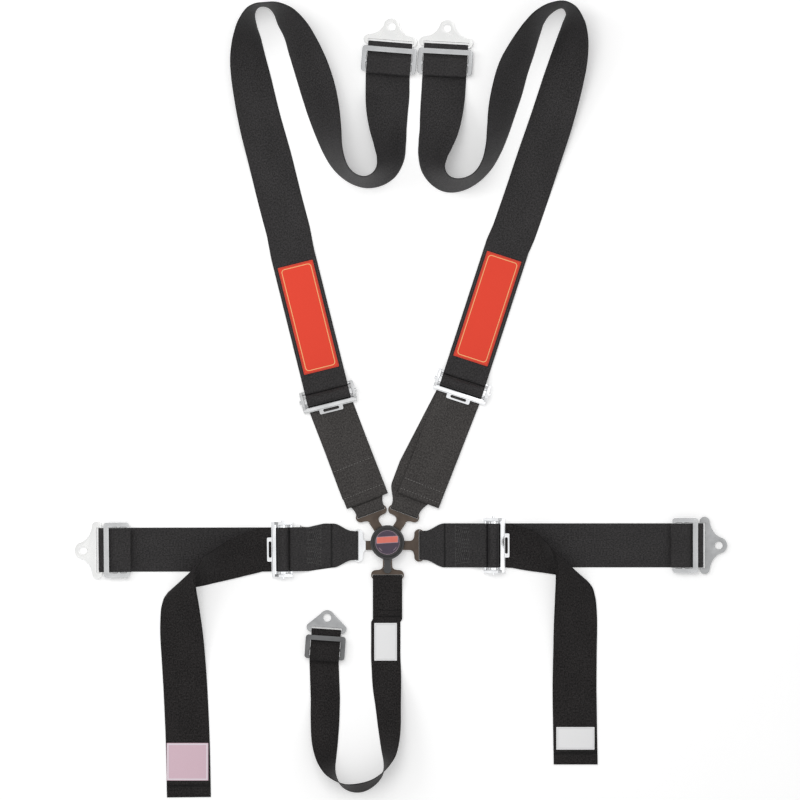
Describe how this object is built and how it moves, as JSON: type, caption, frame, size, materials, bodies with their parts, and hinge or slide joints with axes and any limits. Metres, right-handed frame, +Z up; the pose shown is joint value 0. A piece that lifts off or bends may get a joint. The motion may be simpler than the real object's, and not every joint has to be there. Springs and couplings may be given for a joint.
{
  "type": "racing harness",
  "caption": "Quick-release racing harness laid flat, with lap, shoulder and crotch belts, tilt-lock adjusters, three-bar slides and bolt-in brackets.",
  "frame": {"origin": "centre of the buckle's back, on the surface that the harness lies on", "axes": "+X to the right lap anchor in the picture, +Y to the shoulder anchors, +Z up off the surface"},
  "size_m": [1.1277, 1.3754, 0.0761],
  "materials": {
    "webbing": "ribbed polyester webbing",
    "patch": "woven patch",
    "label_white": "printed tape, bare",
    "label_pink": "printed tape, bare",
    "chrome": "bright plated",
    "zinc": "satin zinc",
    "bright_zinc": "bright zinc",
    "bronze": "dark bronze plated",
    "black_cap": "gloss",
    "insert": "gloss",
    "buckle_metal": "black satin",
    "spring_steel": "drawn wire and turned steel"
  },
  "bodies": {
    "harness": {"buckle_base_plate": "buckle_metal", "buckle_housing": "buckle_metal", "centre_post": "spring_steel", "crotch_web": "webbing", "knob_return_spring": "spring_steel", "label_crotch": "label_white", "label_tail_left": "label_pink", "label_tail_right": "label_white", "latch_spring_crotch": "spring_steel", "latch_spring_lap_right": "spring_steel", "latch_spring_shoulder_left": "spring_steel", "latch_spring_shoulder_right": "spring_steel", "lower_web_shoulder_left": "webbing", "lower_web_shoulder_right": "webbing", "main_web_lap_left": "webbing", "main_web_lap_right": "webbing", "patch_shoulder_left": "patch", "patch_shoulder_right": "patch", "short_strap_lap_left": "webbing", "short_strap_lap_right": "webbing", "tail_lap_left": "webbing", "tail_lap_right": "webbing", "tail_shoulder_left": "webbing", "tail_shoulder_right": "webbing", "three_bar_slide_crotch": "zinc", "three_bar_slide_lap_left": "zinc", "three_bar_slide_lap_right": "zinc", "three_bar_slide_shoulder_left": "bright_zinc", "three_bar_slide_shoulder_right": "bright_zinc", "tongue_crotch": "bronze", "tongue_lap_left": "chrome", "tongue_lap_right": "bronze", "tongue_shoulder_left": "bronze", "tongue_shoulder_right": "bronze", "upper_web_shoulder_left": "webbing", "upper_web_shoulder_right": "webbing"},
    "knob": {"release_knob": "black_cap", "knob_insert_disc": "insert", "cam_ramp_ring": "buckle_metal"},
    "pin_lap_right": {"latch_pin_lap_right": "spring_steel"},
    "pin_crotch": {"latch_pin_crotch": "spring_steel"},
    "pin_shoulder_left": {"latch_pin_shoulder_left": "spring_steel"},
    "pin_shoulder_right": {"latch_pin_shoulder_right": "spring_steel"},
    "adjuster_lap_right": {"adjuster_frame_lap_right": "chrome", "adjuster_slide_bar_lap_right": "chrome", "web_roll_lap_right": "webbing"},
    "adjuster_lap_left": {"adjuster_frame_lap_left": "chrome", "adjuster_slide_bar_lap_left": "chrome", "web_roll_lap_left": "webbing"},
    "adjuster_shoulder_left": {"adjuster_frame_shoulder_left": "chrome", "adjuster_slide_bar_shoulder_left": "chrome", "web_roll_shoulder_left": "webbing"},
    "adjuster_shoulder_right": {"adjuster_frame_shoulder_right": "chrome", "adjuster_slide_bar_shoulder_right": "chrome", "web_roll_shoulder_right": "webbing"},
    "bracket_lap_right": {"bolt_bracket_lap_right": "zinc"},
    "bracket_lap_left": {"bolt_bracket_lap_left": "zinc"},
    "bracket_shoulder_left": {"bolt_bracket_shoulder_left": "bright_zinc"},
    "bracket_shoulder_right": {"bolt_bracket_shoulder_right": "bright_zinc"},
    "bracket_crotch": {"bolt_bracket_crotch": "zinc"}
  },
  "joints": [
    {"name": "knob_turn", "type": "hinge", "parent": "harness", "child": "knob", "pos_m": [0, 0, 0.0096], "axis": [0, 0, 1], "range_deg": [0, 30], "stiffness_Nm_per_rad": 0.6, "springref_deg": -20.05},
    {"name": "pin_lift_lap_right", "type": "slide", "parent": "harness", "child": "pin_lap_right", "axis": [0, 0, 1], "range_m": [0, 0.0033], "deforming": ["latch_spring_lap_right"]},
    {"name": "pin_lift_crotch", "type": "slide", "parent": "harness", "child": "pin_crotch", "axis": [0, 0, 1], "range_m": [0, 0.0033], "deforming": ["latch_spring_crotch"]},
    {"name": "pin_lift_shoulder_left", "type": "slide", "parent": "harness", "child": "pin_shoulder_left", "axis": [0, 0, 1], "range_m": [0, 0.0033], "deforming": ["latch_spring_shoulder_left"]},
    {"name": "pin_lift_shoulder_right", "type": "slide", "parent": "harness", "child": "pin_shoulder_right", "axis": [0, 0, 1], "range_m": [0, 0.0033], "deforming": ["latch_spring_shoulder_right"]},
    {"name": "adjuster_tilt_lap_right", "type": "hinge", "parent": "harness", "child": "adjuster_lap_right", "pos_m": [0.169, -0.0057, 0.0047], "axis": [0, -1, 0], "range_deg": [0, 35]},
    {"name": "adjuster_tilt_lap_left", "type": "hinge", "parent": "harness", "child": "adjuster_lap_left", "pos_m": [-0.1665, -0.01245, 0.0047], "axis": [-0.0105, 0.9999, 0], "range_deg": [0, 35]},
    {"name": "adjuster_tilt_shoulder_left", "type": "hinge", "parent": "harness", "child": "adjuster_shoulder_left", "pos_m": [-0.10619, 0.26598, 0.0047], "axis": [-0.9703, -0.2419, 0], "range_deg": [0, 35]},
    {"name": "adjuster_tilt_shoulder_right", "type": "hinge", "parent": "harness", "child": "adjuster_shoulder_right", "pos_m": [0.13353, 0.28331, 0.0047], "axis": [-0.9511, 0.309, 0], "range_deg": [0, 35]},
    {"name": "bracket_swivel_lap_right", "type": "hinge", "parent": "harness", "child": "bracket_lap_right", "pos_m": [0.5418, -0.0057, 0.0042], "axis": [0, -1, 0], "range_deg": [0, 75]},
    {"name": "bracket_swivel_lap_left", "type": "hinge", "parent": "harness", "child": "bracket_lap_left", "pos_m": [-0.4955, -0.01385, 0.0042], "axis": [-0.0105, 0.9999, 0], "range_deg": [0, 75]},
    {"name": "bracket_swivel_shoulder_left", "type": "hinge", "parent": "harness", "child": "bracket_shoulder_left", "pos_m": [0.0047, 0.86048, 0.0042], "axis": [0.9968, -0.0802, 0], "range_deg": [0, 75]},
    {"name": "bracket_swivel_shoulder_right", "type": "hinge", "parent": "harness", "child": "bracket_shoulder_right", "pos_m": [0.10118, 0.85739, 0.0042], "axis": [0.9984, -0.0558, 0], "range_deg": [0, 75]},
    {"name": "bracket_swivel_crotch", "type": "hinge", "parent": "harness", "child": "bracket_crotch", "pos_m": [-0.10591, -0.15442, 0.0042], "axis": [0.9976, -0.0698, 0], "range_deg": [0, 75]}
  ],
  "couplings": [
    {"joint": "pin_lift_lap_right", "follows": "knob_turn", "m_per_rad": 0.006302},
    {"joint": "pin_lift_crotch", "follows": "knob_turn", "m_per_rad": 0.006302},
    {"joint": "pin_lift_shoulder_left", "follows": "knob_turn", "m_per_rad": 0.006302},
    {"joint": "pin_lift_shoulder_right", "follows": "knob_turn", "m_per_rad": 0.006302}
  ]
}
